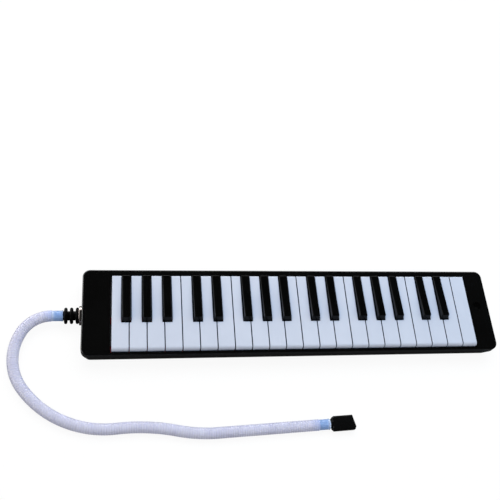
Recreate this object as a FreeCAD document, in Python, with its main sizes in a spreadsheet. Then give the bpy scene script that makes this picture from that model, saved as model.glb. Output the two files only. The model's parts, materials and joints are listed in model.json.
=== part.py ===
"""Melodica with 37 keys, F3 to F6, and its corrugated blowing hose.

Millimetres.  +X runs along the keyboard from low notes to high notes, +Y points to the back,
+Z points up.  The origin is the centre of the underside of the case.
"""
import math
import os

import FreeCAD
import Part
import Sketcher
from FreeCAD import Rotation, Vector

DRIVING_SIZES = {
    # Case
    "case_length": 488.6, "case_depth": 102.4, "case_corner": 8.5, "parting_height": 17.0,
    "rim_height": 27.0, "wall": 2.2, "panel": 2.0, "rim_round": 2.0, "base_round": 2.0,
    "base_inset_ends": 4.2, "base_inset_sides": 3.3, "base_corner": 5.5, "seam_bevel": 0.6,
    # Clearances and joints that several parts share
    "running_gap": 0.05, "screw_play": 0.4, "sink_play": 0.5, "button_play": 0.2, "overlap": 1.0,
    # Keyboard
    "white_pitch": 19.5, "white_total": 22, "key_gap": 1.0, "key_top": 33.0, "key_underside": 22.0,
    "key_front": -47.6, "key_back": 40.9, "left_margin": 32.4, "opening_gap": 0.9, "key_skin": 1.6,
    "key_roof": 2.0, "key_lip": 3.5, "key_heel": 1.6, "key_edge": 0.5, "top_key_trim": 1.4,
    "black_width": 9.6, "black_top_width": 8.6, "black_front": -14.8, "black_slope": 2.7,
    "black_rise": 7.0, "black_back_rise": 1.5, "black_gap": 0.75, "black_edge": 1.0,
    "shift_fs": -3.1, "shift_gs": 0.0, "shift_as": 3.2, "shift_cs": -1.75, "shift_ds": 1.8,
    # Key action
    "pivot_back": 44.9, "pivot_height": 21.5, "rod_diameter": 2.5, "hub_diameter": 5.8, "hub_width": 8.0,
    "neck_overlap": 5.0, "arm_width": 6.0, "arm_thickness": 2.0, "arm_foot": 4.5, "pad_size": 7.0,
    "pad_thickness": 2.0, "pad_height": 7.0, "hole_width": 5.0, "hole_height": 3.6, "lug_thickness": 2.2,
    "lug_foot": 4.0, "lug_reach": 3.0, "leaf_thickness": 0.3, "leaf_width": 3.0, "leaf_top": 9.0,
    "leaf_strip": 15.0, "spring_gap": 0.02, "comb_inset": 4.0,
    # Reed chamber
    "chamber_front": -37.0, "chamber_back": 41.0, "chamber_floor": 2.6, "chamber_top": 14.0,
    "chamber_margin": 7.0, "chamber_wall": 6.0, "chamber_end_wall": 3.0, "cell_width": 9.0, "cell_floor": 4.4,
    "plate_seat": 9.0, "plate_thickness": 1.0, "plate_gap": 0.2, "gasket_thickness": 0.6,
    "lid_thickness": 1.9, "ledge_front": -46.4, "ledge_thickness": 3.0, "ledge_top": 14.4,
    "front_felt": 3.0, "middle_felt": 2.5, "felt_width": 7.5, "middle_felt_front": -12.0,
    # Reeds
    "reed_longest": 42.0, "reed_width": 3.4, "slot_width": 3.0, "reed_thickness": 0.25, "rivet_diameter": 2.4,
    "rivet_height": 0.8, "rivet_line": 30.0, "reed_play": 0.5, "reed_root": 3.5, "reed_heel": 2.0,
    # Screws
    "screw_shank": 2.6, "screw_length": 8.0, "screw_head": 5.0, "screw_head_height": 1.5,
    "corner_screw_x": 230.2, "corner_screw_y": 38.0, "corner_screw_seat": 12.5, "boss_diameter": 9.0,
    "ledge_screw_y": -42.0, "ledge_screw_seat": 6.2, "ledge_screw_step": 120.0, "post_diameter": 8.0,
    "lid_sink": 1.2,
    # Blow socket and plug
    "blow_height": 13.5, "ring_diameter": 21.4, "ring_reach": 3.0, "ring_length": 12.0, "ring_lip": 0.7,
    "tube_set_back": 0.4, "socket_diameter": 16.4, "plug_diameter": 10.4, "plug_depth": 21.0, "air_bore": 6.0,
    "rib_diameter": 18.4, "rib_width": 3.5, "rib_web": 2.6, "rib_pitch": 6.3, "plug_reach": 20.4,
    "nipple_diameter": 8.0, "nipple_length": 10.0, "plenum_width": 18.0, "plenum_floor": 4.5,
    "plenum_top": 22.5, "plenum_length": 11.0, "plenum_skin": 1.6, "port_width": 14.0,
    # Hose
    "cuff_diameter": 12.2, "cuff_length": 12.3, "far_cuff_length": 12.3, "hose_diameter": 12.6,
    "hose_bore": 9.6, "hose_tilt": 3.05, "hose_straight": 113.6,
    "bend_radius_1": 36.4, "bend_turn_1": 61.5, "bend_radius_2": 57.6, "bend_turn_2": 64.3,
    "bend_radius_3": 112.1, "bend_turn_3": 58.8, "bend_radius_4": -219.8, "bend_turn_4": -17.0,
    "bend_radius_5": 173.4, "bend_turn_5": 14.7,
    # Mouthpiece
    "mouth_neck": 2.2, "mouth_shoulder": 2.4, "mouth_length": 26.8, "mouth_width": 16.2,
    "mouth_thickness": 10.0, "mouth_slant": 3.0, "mouth_round": 2.0, "mouth_bevel": 3.0,
    # Drain valve
    "drain_x": 228.9, "drain_y": 4.3, "button_diameter": 9.8, "button_sink": 0.5, "button_thickness": 3.0,
    "dish_radius": 14.7, "stem_diameter": 4.0, "collar_diameter": 13.0, "collar_length": 3.5,
    "seat_height": 7.0, "seat_thickness": 1.8, "seat_hole": 7.0, "seal_diameter": 9.2,
    "seal_thickness": 2.2, "stem_foot": 1.0, "drain_hole": 8.0, "valve_skin": 2.0,
    "spring_diameter": 7.0, "spring_wire": 0.6, "spring_pitch": 1.25, "spring_riser": 0.42,
}

doc = FreeCAD.newDocument("Melodica")
sizes = doc.addObject("Spreadsheet::Sheet", "Sizes")
for row, (alias, value) in enumerate(DRIVING_SIZES.items(), start=1):
    sizes.set("A%d" % row, alias)
    sizes.set("B%d" % row, str(value))
    sizes.setAlias("B%d" % row, alias)
doc.recompute()

LENGTH_HALF = "Sizes.case_length / 2"
DEPTH_HALF = "Sizes.case_depth / 2"
KEYS_LEFT = "(Sizes.left_margin - Sizes.case_length / 2)"
KEYS_RIGHT = "(Sizes.left_margin - Sizes.case_length / 2 + Sizes.white_total * Sizes.white_pitch)"
CHAMBER_LEFT = KEYS_LEFT + " - Sizes.chamber_margin"
CHAMBER_RIGHT = KEYS_RIGHT + " + Sizes.chamber_margin"
LID_TOP = "(Sizes.chamber_top + Sizes.gasket_thickness + Sizes.lid_thickness)"
ALONG = Vector(1, 0, 0)
# How far a cutter passes the face it opens.
PASS_LOW, PASS_HIGH = " - Sizes.overlap", " + Sizes.overlap"
# Front, back, bottom and top of the opening between the blow socket and the wind way.
WIND_OPENING = ("-Sizes.port_width / 2", "Sizes.port_width / 2", "Sizes.plate_seat + Sizes.plate_thickness"
                " + Sizes.plate_gap", "Sizes.chamber_top - 4 * Sizes.plate_gap")
CORNERS = [(side, end) for side in (-1, 1) for end in (-1, 1)]

subparts = []


# ---------------------------------------------------------------- document helpers
def number(expression):
    """The value that an expression on the sheet has now."""
    value = sizes.evalExpression(expression)
    return float(getattr(value, "Value", value))


def bind(thing, **expressions):
    """Bind properties to the sheet; x, y and z are the placement's base."""
    for name, expression in expressions.items():
        path = "Placement.Base." + name if name in ("x", "y", "z") else name
        thing.setExpression(path, expression)
    return thing


def node(thing, label):
    """Name a finished sub-part, so that it is written to its own file."""
    thing.Label = label
    subparts.append(thing)
    return thing


def box(name, x, y, z, length, width, height):
    """A block from its lowest corner."""
    block = doc.addObject("Part::Box", name)
    return bind(block, x=x, y=y, z=z, Length=length, Width=width, Height=height)


def block_between(name, left, right, front, back, bottom, top):
    """A block from its six faces."""
    spans = ["(%s) - (%s)" % pair for pair in ((right, left), (back, front), (top, bottom))]
    return box(name, left, front, bottom, *spans)


def cylinder(name, diameter, length, x="0", y="0", z="0", along=Vector(0, 0, 1)):
    """A round bar that starts at x, y, z and runs along a direction."""
    bar = doc.addObject("Part::Cylinder", name)
    bar.Placement.Rotation = Rotation(Vector(0, 0, 1), along)
    return bind(bar, x=x, y=y, z=z, Radius="(%s) / 2" % diameter, Height=length)


def fuse(name, shapes):
    """One solid from several."""
    joined = doc.addObject("Part::MultiFuse", name)
    joined.Shapes = shapes
    return joined


def cut(name, base, tools):
    """The base without its tools."""
    result = doc.addObject("Part::Cut", name)
    result.Base = base
    result.Tool = tools[0] if len(tools) == 1 else group(name + "_tools", tools)
    return result


def group(name, links):
    """Several solids kept apart in one object."""
    members = doc.addObject("Part::Compound", name)
    members.Links = links
    return members


def new_body(name):
    return doc.addObject("PartDesign::Body", name)


def sketch_on(body, name, role, height):
    """An empty sketch on one of the body's own planes, moved along the plane's normal."""
    plane = [feature for feature in body.Origin.OriginFeatures if feature.Role == role][0]
    sketch = body.newObject("Sketcher::SketchObject", name)
    sketch.AttachmentSupport = [(plane, "")]
    sketch.MapMode = "FlatFace"
    sketch.setExpression("AttachmentOffset.Base.z", height)
    return sketch


def outline(body, name, role, points, height="0"):
    """A closed sketch of straight lines; each corner is a pair of expressions."""
    sketch = sketch_on(body, name, role, height)
    corners = [Vector(number(across), number(up), 0) for across, up in points]
    total = len(corners)
    sketch.addGeometry([Part.LineSegment(corners[i], corners[(i + 1) % total]) for i in range(total)], False)
    sketch.addConstraint([Sketcher.Constraint("Coincident", i, 2, (i + 1) % total, 1) for i in range(total)])
    for i, corner in enumerate(corners):
        for kind, value, expression in zip(("DistanceX", "DistanceY"), corner, points[i]):
            index = sketch.addConstraint(Sketcher.Constraint(kind, -1, 1, i, 1, value))
            sketch.setExpression("Constraints[%d]" % index, expression)
    return sketch


def rectangle(body, name, left, right, front, back, height="0"):
    """A rectangle on the body's XY plane."""
    points = [(left, front), (right, front), (right, back), (left, back)]
    return outline(body, name, "XY_Plane", points, height)


def rounded_rectangle(body, name, across, deep, radius, height="0"):
    """A rectangle with round corners about the body's Z axis; across and deep are its half sizes."""
    sketch = sketch_on(body, name, "XY_Plane", height)
    size = number(radius)
    centre_x, centre_y = number(across) - size, number(deep) - size
    for side, end in ((1, 1), (-1, 1), (-1, -1), (1, -1)):
        circle = Part.Circle(Vector(side * centre_x, end * centre_y, 0), Vector(0, 0, 1), size)
        quarter = math.pi / 2 * ((1, 1), (-1, 1), (-1, -1), (1, -1)).index((side, end))
        arc = sketch.addGeometry(Part.ArcOfCircle(circle, quarter, quarter + math.pi / 2), False)
        x = "%d * ((%s) - (%s))" % (side, across, radius)
        y = "%d * ((%s) - (%s))" % (end, deep, radius)
        first, second = (2, 1) if side != end else (1, 2)
        rules = [("DistanceX", 3, side * centre_x, x), ("DistanceY", 3, end * centre_y, y),
                 ("DistanceY", first, end * centre_y, y), ("DistanceX", second, side * centre_x, x)]
        for kind, point, value, expression in rules:
            index = sketch.addConstraint(Sketcher.Constraint(kind, -1, 1, arc, point, value))
            sketch.setExpression("Constraints[%d]" % index, expression)
        index = sketch.addConstraint(Sketcher.Constraint("Radius", arc, size))
        sketch.setExpression("Constraints[%d]" % index, radius)
    for arc in range(4):
        follows = (arc + 1) % 4
        ends = (sketch.getPoint(arc, 2), sketch.getPoint(follows, 1))
        line = sketch.addGeometry(Part.LineSegment(*ends), False)
        sketch.addConstraint(Sketcher.Constraint("Coincident", arc, 2, line, 1))
        sketch.addConstraint(Sketcher.Constraint("Coincident", line, 2, follows, 1))
    return sketch


def circles(body, name, role, centres, diameter, height="0"):
    """A sketch of equal circles; each centre is a pair of expressions."""
    sketch = sketch_on(body, name, role, height)
    for across, up in centres:
        centre = Vector(number(across), number(up), 0)
        circle = Part.Circle(centre, Vector(0, 0, 1), number(diameter) / 2)
        geometry = sketch.addGeometry(circle, False)
        limits = [("DistanceX", centre.x, across), ("DistanceY", centre.y, up)]
        for kind, value, expression in limits:
            index = sketch.addConstraint(Sketcher.Constraint(kind, -1, 1, geometry, 3, value))
            sketch.setExpression("Constraints[%d]" % index, expression)
        index = sketch.addConstraint(Sketcher.Constraint("Diameter", geometry, circle.Radius * 2))
        sketch.setExpression("Constraints[%d]" % index, diameter)
    return sketch


def extrude(kind, body, sketch, length, middle=False, flip=False):
    """A pad or a pocket; middle spreads it to both sides of its sketch."""
    doc.recompute()
    feature = body.newObject("PartDesign::" + kind, sketch.Name + "_" + kind.lower())
    feature.Profile = sketch
    feature.setExpression("Length", length)
    feature.Midplane = middle
    feature.Reversed = flip
    sketch.Visibility = False
    doc.recompute()
    return feature


def loft(kind, body, sections):
    """A loft through sketches, from the lowest up, that adds or cuts."""
    doc.recompute()
    feature = body.newObject("PartDesign::" + kind, sections[0].Name + "_loft")
    feature.Profile = sections[0]
    feature.Sections = sections[1:]
    feature.Ruled = True
    doc.recompute()
    return feature


def round_edges(body, name, radius, wanted, kind="Fillet"):
    """Round or bevel the edges of the body's tip that a test picks."""
    base = body.Tip
    edges = ["Edge%d" % (i + 1) for i, edge in enumerate(base.Shape.Edges) if wanted(edge.BoundBox)]
    feature = body.newObject("PartDesign::" + kind, name)
    feature.Base = (base, edges)
    feature.setExpression("Radius" if kind == "Fillet" else "Size", radius)
    doc.recompute()
    return feature


def close(value, target, slack=0.05):
    return abs(value - target) < slack


# ---------------------------------------------------------------- case
def ring_hole(name):
    """The cutter for the hole that both halves of the case leave for the socket ring."""
    return cylinder(name, "Sizes.ring_diameter + 2 * Sizes.running_gap", "Sizes.ring_length * 2",
                    x="-" + LENGTH_HALF + " - Sizes.ring_length", z="Sizes.blow_height", along=ALONG)


def corner_points():
    return [("%d * Sizes.corner_screw_x" % side, "%d * Sizes.corner_screw_y" % end) for side, end in CORNERS]


def top_case():
    """Upper shell: walls, the panels at both ends, the front rail and the strip behind the keys."""
    body = new_body("TopCase")
    rim, parting = "Sizes.rim_height", "Sizes.parting_height"
    shell = rounded_rectangle(body, "TopOutline", LENGTH_HALF, DEPTH_HALF, "Sizes.case_corner", parting)
    extrude("Pad", body, shell, "Sizes.rim_height - Sizes.parting_height")
    top = number(rim)
    round_edges(body, "TopRim", "Sizes.rim_round",
                lambda edge: close(edge.ZMin, top) and close(edge.ZMax, top))
    bottom = number(parting)
    round_edges(body, "TopSeam", "Sizes.seam_bevel",
                lambda edge: close(edge.ZMin, bottom) and close(edge.ZMax, bottom), kind="Chamfer")
    cavity = rounded_rectangle(body, "TopCavity", LENGTH_HALF + " - Sizes.wall", DEPTH_HALF + " - Sizes.wall",
                               "Sizes.case_corner - Sizes.wall", parting)
    extrude("Pocket", body, cavity, "Sizes.rim_height - Sizes.parting_height - Sizes.panel", flip=True)
    gap = " Sizes.opening_gap"
    opening = rectangle(body, "KeyOpening", KEYS_LEFT + " -" + gap,
                        KEYS_RIGHT + " - Sizes.top_key_trim +" + gap, "Sizes.key_front -" + gap,
                        "Sizes.key_back + Sizes.key_gap * 0.7", rim)
    extrude("Pocket", body, opening, "Sizes.panel * 2")
    bosses = circles(body, "TopBosses", "XY_Plane", corner_points(), "Sizes.boss_diameter", parting)
    extrude("Pad", body, bosses, "Sizes.rim_height - Sizes.parting_height - Sizes.panel / 2")
    pilots = circles(body, "TopPilots", "XY_Plane", corner_points(),
                     "Sizes.screw_shank + 2 * Sizes.running_gap", parting)
    extrude("Pocket", body, pilots, "Sizes.screw_length / 2 + 0.5", flip=True)
    drain = [("Sizes.drain_x", "Sizes.drain_y")]
    collar = circles(body, "ButtonCollar", "XY_Plane", drain, "Sizes.collar_diameter",
                     "Sizes.rim_height - Sizes.overlap")
    extrude("Pad", body, collar, "Sizes.collar_length + Sizes.overlap", flip=True)
    well = circles(body, "ButtonWell", "XY_Plane", drain, "Sizes.button_diameter + Sizes.button_play", rim)
    extrude("Pocket", body, well, "Sizes.collar_length + Sizes.panel + 2")
    node(cut("TopCaseCut", body, [ring_hole("TopRingHole")]), "top_case")


def bottom_case():
    """Lower shell: its walls lean in towards a smaller base, and it carries the screw bosses."""
    body = new_body("BottomCase")

    parting = "Sizes.parting_height"
    sections = []
    for index, angle in enumerate((0, 30, 60, 90)):
        extra = " - Sizes.base_round * (1 - sin(%d deg))" % angle
        sections.append(rounded_rectangle(body, "BaseOutline%d" % index,
                                          LENGTH_HALF + " - Sizes.base_inset_ends" + extra,
                                          DEPTH_HALF + " - Sizes.base_inset_sides" + extra,
                                          "Sizes.base_corner", "Sizes.base_round * (1 - cos(%d deg))" % angle))
    brim = rounded_rectangle(body, "BrimOutline", LENGTH_HALF, DEPTH_HALF, "Sizes.case_corner", parting)
    sections.append(brim)
    loft("AdditiveLoft", body, sections)
    low = rounded_rectangle(body, "FloorInside", LENGTH_HALF + " - Sizes.base_inset_ends - Sizes.wall",
                            DEPTH_HALF + " - Sizes.base_inset_sides - Sizes.wall",
                            "Sizes.base_corner - Sizes.wall", "Sizes.panel")
    high = rounded_rectangle(body, "BrimInside", LENGTH_HALF + " - Sizes.wall", DEPTH_HALF + " - Sizes.wall",
                             "Sizes.case_corner - Sizes.wall", parting)
    loft("SubtractiveLoft", body, [low, high])
    bosses = circles(body, "CornerBosses", "XY_Plane", corner_points(), "Sizes.boss_diameter",
                     "Sizes.panel / 2")
    extrude("Pad", body, bosses, "Sizes.parting_height - Sizes.panel / 2")
    ledge_top = "(Sizes.ledge_top - Sizes.ledge_thickness)"
    posts = circles(body, "LedgePosts", "XY_Plane", ledge_points(), "Sizes.post_diameter", "Sizes.panel / 2")
    extrude("Pad", body, posts, ledge_top + " - Sizes.panel / 2")
    for name, centres, seat in (("Corner", corner_points(), "Sizes.corner_screw_seat"),
                                ("Ledge", ledge_points(), "Sizes.ledge_screw_seat")):
        clearance = circles(body, name + "Clearance", "XY_Plane", centres,
                            "Sizes.screw_shank + Sizes.screw_play")
        extrude("Pocket", body, clearance, "Sizes.parting_height + Sizes.overlap", flip=True)
        sink = circles(body, name + "Sink", "XY_Plane", centres, "Sizes.screw_head + Sizes.sink_play")
        extrude("Pocket", body, sink, seat, flip=True)
    drain = circles(body, "DrainHole", "XY_Plane", [("Sizes.drain_x", "Sizes.drain_y")], "Sizes.drain_hole")
    extrude("Pocket", body, drain, "Sizes.panel * 2", flip=True)
    node(cut("BottomCaseCut", body, [ring_hole("BottomRingHole")]), "bottom_case")


# ---------------------------------------------------------------- keyboard layout
# Each white key with the black keys on its left and right.
OCTAVE = [("f", None, "fs"), ("g", "fs", "gs"), ("a", "gs", "as"), ("b", "as", None),
          ("c", None, "cs"), ("d", "cs", "ds"), ("e", "ds", None)]
WHITE_TOTAL = int(DRIVING_SIZES["white_total"])
LOWEST_OCTAVE = 3


def tail_sides(left_black, right_black):
    """Where the narrow part of a white key starts and ends, from the key's left line."""
    reach = "Sizes.black_width / 2 + Sizes.black_gap"
    left = "Sizes.key_gap / 2"
    right = "Sizes.white_pitch - Sizes.key_gap / 2"
    if left_black:
        left = "Sizes.shift_%s + %s" % (left_black, reach)
    if right_black:
        right = "Sizes.white_pitch + Sizes.shift_%s - (%s)" % (right_black, reach)
    return left, right


def white_hub(left_black, right_black):
    """Middle of a white key's tail, from the key's left line."""
    return "(%s + %s) / 2" % tail_sides(left_black, right_black)


def white_line(index):
    """The line on the left of a white key, counted from the lowest."""
    return "(%s + %d * Sizes.white_pitch)" % (KEYS_LEFT, index)


def key_layout():
    """Every key from low to high: name, master name, place of its master, and place of its hub."""
    keys = []
    for index in range(WHITE_TOTAL):
        letter, left_black, right_black = OCTAVE[index % len(OCTAVE)]
        octave = LOWEST_OCTAVE + (index + 3) // len(OCTAVE)
        line = white_line(index)
        last = index == WHITE_TOTAL - 1
        master = "top" if last else letter
        keys.append(("key_%s%d" % (letter, octave), master, line,
                     line + " + " + white_hub(left_black, right_black)))
        if right_black and not last:
            middle = "%s + Sizes.shift_%s" % (white_line(index + 1), right_black)
            keys.append(("key_%s%d" % (right_black, octave), "black", middle, middle))
    return keys


def lug_lines():
    """Lines between white keys that have no black key between them, and both ends."""
    return [white_line(index) for index in range(WHITE_TOTAL + 1)
            if index == WHITE_TOTAL or OCTAVE[index % len(OCTAVE)][1] is None]


def ledge_points():
    """Screw places under the ledge in front of the reed chamber."""
    return [("%s * Sizes.ledge_screw_step" % step, "Sizes.ledge_screw_y") for step in (-1.5, -0.5, 0.5, 1.5)]


# ---------------------------------------------------------------- keys
def add_lever(body, name, hub):
    """The hub on the pivot rod and the arm behind it that carries the pad, on the middle of the tail."""
    arm_front = "Sizes.chamber_back + Sizes.pad_thickness"
    arm_back = "Sizes.chamber_back + Sizes.pad_thickness + Sizes.arm_thickness"
    top = "Sizes.pivot_height + Sizes.hub_diameter / 2"
    under = "Sizes.pivot_height - Sizes.hub_diameter / 2"
    inside = "Sizes.key_back - Sizes.neck_overlap"
    wide = outline(body, name + "Neck", "YZ_Plane", [(inside, under), ("Sizes.pivot_back", under),
                   ("Sizes.pivot_back", top), (inside, top)], hub)
    extrude("Pad", body, wide, "Sizes.hub_width", middle=True)
    round_hub = circles(body, name + "Hub", "YZ_Plane", [("Sizes.pivot_back", "Sizes.pivot_height")],
                        "Sizes.hub_diameter", hub)
    extrude("Pad", body, round_hub, "Sizes.hub_width", middle=True)
    narrow = outline(body, name + "Arm", "YZ_Plane",
                     [(arm_front, "Sizes.arm_foot"), (arm_back, "Sizes.arm_foot"),
                      (arm_back, "Sizes.pivot_height"), (arm_front, "Sizes.pivot_height")], hub)
    extrude("Pad", body, narrow, "Sizes.arm_width", middle=True)
    bore = circles(body, name + "Bore", "YZ_Plane", [("Sizes.pivot_back", "Sizes.pivot_height")],
                   "Sizes.rod_diameter + 2 * Sizes.running_gap", hub)
    extrude("Pocket", body, bore, "Sizes.hub_width * 2", middle=True)


def white_master(name, left_black, right_black, trim=""):
    """One shape of white key, with its left line at x = 0; trim makes it narrower on the right."""
    body = new_body("White" + name)
    notch = "Sizes.black_front - Sizes.key_gap"
    head = ("Sizes.key_gap / 2", "Sizes.white_pitch - Sizes.key_gap / 2" + trim)
    tail_left, tail_right = tail_sides(left_black, right_black)
    tail = (tail_left, tail_right + trim)

    def plan(skin):
        """The key from above, drawn in from its edge by a skin."""
        front = "Sizes.key_front" + skin % "+"
        back = "Sizes.key_back" + skin % "-"
        step = notch + skin % "-"
        points = [(head[0] + skin % "+", front), (head[1] + skin % "-", front)]
        points += [(head[1] + skin % "-", step), (tail[1] + skin % "-", step)] if right_black else []
        points += [(tail[1] + skin % "-", back), (tail[0] + skin % "+", back)]
        points += [(tail[0] + skin % "+", step), (head[0] + skin % "+", step)] if left_black else []
        return points

    whole = outline(body, name + "Plan", "XY_Plane", plan("%.0s"), "Sizes.key_underside")
    extrude("Pad", body, whole, "Sizes.key_top - Sizes.key_underside")
    top, front, back = number("Sizes.key_top"), number("Sizes.key_front"), number("Sizes.key_back")

    def at_top(edge):
        return close(edge.ZMin, top) and close(edge.ZMax, top)

    round_edges(body, name + "Lip", "Sizes.key_lip", lambda edge: at_top(edge) and close(edge.YMax, front))
    round_edges(body, name + "Heel", "Sizes.key_heel", lambda edge: at_top(edge) and close(edge.YMin, back))
    round_edges(body, name + "Sides", "Sizes.key_edge", at_top)
    hollow = outline(body, name + "Hollow", "XY_Plane", plan(" %s Sizes.key_skin"), "Sizes.key_underside")
    extrude("Pocket", body, hollow, "Sizes.key_top - Sizes.key_underside - Sizes.key_roof", flip=True)
    add_lever(body, name, white_hub(left_black, right_black))
    return body


def black_master():
    """The black key, with its middle at x = 0."""
    body = new_body("Black")
    crest = "Sizes.key_top + Sizes.black_rise"
    side = [("Sizes.black_front", "Sizes.key_underside"), ("Sizes.key_back", "Sizes.key_underside"),
            ("Sizes.key_back", "Sizes.key_top + Sizes.black_back_rise"),
            ("Sizes.black_front + Sizes.black_slope", crest), ("Sizes.black_front", "Sizes.key_top")]
    profile = outline(body, "BlackSide", "YZ_Plane", side)
    extrude("Pad", body, profile, "Sizes.black_width", middle=True)
    for name, sign in (("BlackLeft", "-"), ("BlackRight", "")):
        outer = sign + "(Sizes.black_width / 2 + Sizes.overlap)"
        waist = sign + "Sizes.black_width / 2"
        shoulder = sign + "Sizes.black_top_width / 2"
        slice_off = outline(body, name, "XZ_Plane", [(waist, "Sizes.key_top"), (shoulder, crest),
                            (shoulder, crest + PASS_HIGH), (outer, crest + PASS_HIGH),
                            (outer, "Sizes.key_top")])
        extrude("Pocket", body, slice_off, "Sizes.case_depth", middle=True)
    waist_height = number("Sizes.key_top") + 0.3
    round_edges(body, "BlackEdges", "Sizes.black_edge", lambda edge: edge.ZMax > waist_height)
    skin = "Sizes.key_skin"
    hollow = rectangle(body, "BlackHollow", "-Sizes.black_width / 2 + " + skin,
                       "Sizes.black_width / 2 - " + skin, "Sizes.black_front + " + skin,
                       "Sizes.key_back - " + skin, "Sizes.key_underside")
    extrude("Pocket", body, hollow, "Sizes.key_top - Sizes.key_underside - Sizes.overlap", flip=True)
    add_lever(body, "Black", "0")
    return body


def keys():
    """All keys: a moulded lever and its rubber pad, both from a master."""
    masters = {name: (white_master(name.upper(), left, right), white_hub(left, right))
               for name, left, right in OCTAVE}
    masters["top"] = (white_master("Top", None, None, " - Sizes.top_key_trim"), white_hub(None, "fs"))
    masters["black"] = (black_master(), "0")
    for name, (lever, hub) in masters.items():
        half = "Sizes.pad_size / 2"
        pad = box("Pad_" + name, hub + " - " + half, "Sizes.chamber_back", "Sizes.pad_height - " + half,
                  "Sizes.pad_size", "Sizes.pad_thickness", "Sizes.pad_size")
        masters[name] = [lever, pad]
    for label, master, place, _ in key_layout():
        node(bind(group("Key_" + label, masters[master]), x=place), label)


# ---------------------------------------------------------------- key action
def pivot_rod():
    """The steel rod that all keys turn on."""
    left = KEYS_LEFT + " - Sizes.lug_thickness / 2" + PASS_LOW
    right = KEYS_RIGHT + " + Sizes.lug_thickness / 2" + PASS_HIGH
    rod = cylinder("Rod", "Sizes.rod_diameter", "(%s) - (%s)" % (right, left), x=left, y="Sizes.pivot_back",
                   z="Sizes.pivot_height", along=ALONG)
    node(rod, "pivot_rod")


def spring_comb():
    """Spring strip under the chamber, with one leaf behind the arm of each key."""
    back = "Sizes.chamber_back + Sizes.pad_thickness + Sizes.arm_thickness + Sizes.spring_gap"
    base = "(Sizes.panel + Sizes.chamber_floor) / 2 - Sizes.leaf_thickness / 2"
    strip = block_between("CombStrip", CHAMBER_LEFT + " + Sizes.comb_inset",
                          CHAMBER_RIGHT + " - Sizes.comb_inset", back + " - Sizes.leaf_strip",
                          back + " + Sizes.leaf_thickness", base, base + " + Sizes.leaf_thickness")
    leaves = []
    for index, (_, _, _, hub) in enumerate(key_layout()):
        leaves.append(box("Leaf%d" % index, hub + " - Sizes.leaf_width / 2", back, base,
                          "Sizes.leaf_width", "Sizes.leaf_thickness", "Sizes.leaf_top - (%s)" % base))
    node(fuse("Comb", [strip] + leaves), "spring_comb")


def key_stop_felt():
    """Felt strips that stop the keys: one on the ledge, one on the chamber lid."""
    front = box("FrontFelt", CHAMBER_LEFT, "Sizes.ledge_front + 2 * Sizes.plate_gap", "Sizes.ledge_top",
                CHAMBER_RIGHT + " - (" + CHAMBER_LEFT + ")", "Sizes.felt_width", "Sizes.front_felt")
    middle = box("MiddleFelt", CHAMBER_LEFT, "Sizes.middle_felt_front", LID_TOP,
                 CHAMBER_RIGHT + " - (" + CHAMBER_LEFT + ")", "Sizes.felt_width", "Sizes.middle_felt")
    node(group("Felt", [front, middle]), "key_stop_felt")


# ---------------------------------------------------------------- reed chamber
PLENUM_SIDE = "(Sizes.seal_diameter / 2 + 2 * Sizes.valve_skin)"
PLENUM_END = "Sizes.drain_x + " + PLENUM_SIDE


def lid_screw_points():
    rows = ("Sizes.chamber_front + Sizes.chamber_wall / 2", "Sizes.chamber_back - Sizes.chamber_wall / 2")
    return [(line, row) for line in lug_lines() for row in rows]


def drilled(prefix, points, diameter, bottom, length):
    """Cutters for a row of round holes."""
    return [cylinder("%s%d" % (prefix, index), diameter, length, x=x, y=y, z=bottom)
            for index, (x, y) in enumerate(points)]


def drain_extension(prefix, bottom, top, skin="0"):
    """The block at the treble end that holds the drain valve."""
    return block_between(prefix, CHAMBER_RIGHT + " - Sizes.chamber_end_wall", PLENUM_END + " - " + skin,
                         "Sizes.drain_y - (%s) + %s" % (PLENUM_SIDE, skin),
                         "Sizes.drain_y + (%s) - %s" % (PLENUM_SIDE, skin), bottom, top)


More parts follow.
